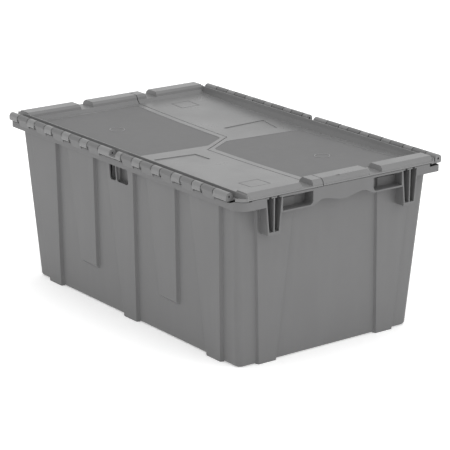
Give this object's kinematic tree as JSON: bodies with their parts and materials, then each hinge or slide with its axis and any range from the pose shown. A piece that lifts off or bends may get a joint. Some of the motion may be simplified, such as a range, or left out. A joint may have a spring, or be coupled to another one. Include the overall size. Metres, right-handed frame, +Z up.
{
  "type": "attached lid tote",
  "caption": "Tapered rectangular stacking tote with two half lids hinged on steel rods along its long sides, meeting at a zigzag seam, with a handle at each end.",
  "frame": {"origin": "middle of the base, on the plane the tote stands on", "axes": "+X along the length towards one end handle, +Y across the width, +Z up"},
  "size_m": [0.683, 0.4336, 0.3048],
  "materials": {
    "tub_plastic": "fine moulded texture, satin",
    "lid_plastic": "fine moulded texture, matt",
    "rod_steel": "drawn wire, dull"
  },
  "bodies": {
    "tub": {"tote_body": "tub_plastic", "hinge_rod_left_back": "rod_steel", "hinge_rod_left_front": "rod_steel", "hinge_rod_right_back": "rod_steel", "hinge_rod_right_front": "rod_steel"},
    "left_lid": {"lid_left": "lid_plastic"},
    "right_lid": {"lid_right": "lid_plastic"}
  },
  "joints": [
    {"name": "left_lid_hinge", "type": "hinge", "parent": "tub", "child": "left_lid", "pos_m": [0, -0.21, 0.297], "axis": [1, 0, 0], "range_deg": [0, 225]},
    {"name": "right_lid_hinge", "type": "hinge", "parent": "tub", "child": "right_lid", "pos_m": [0, 0.21, 0.297], "axis": [-1, 0, 0], "range_deg": [0, 225]}
  ]
}
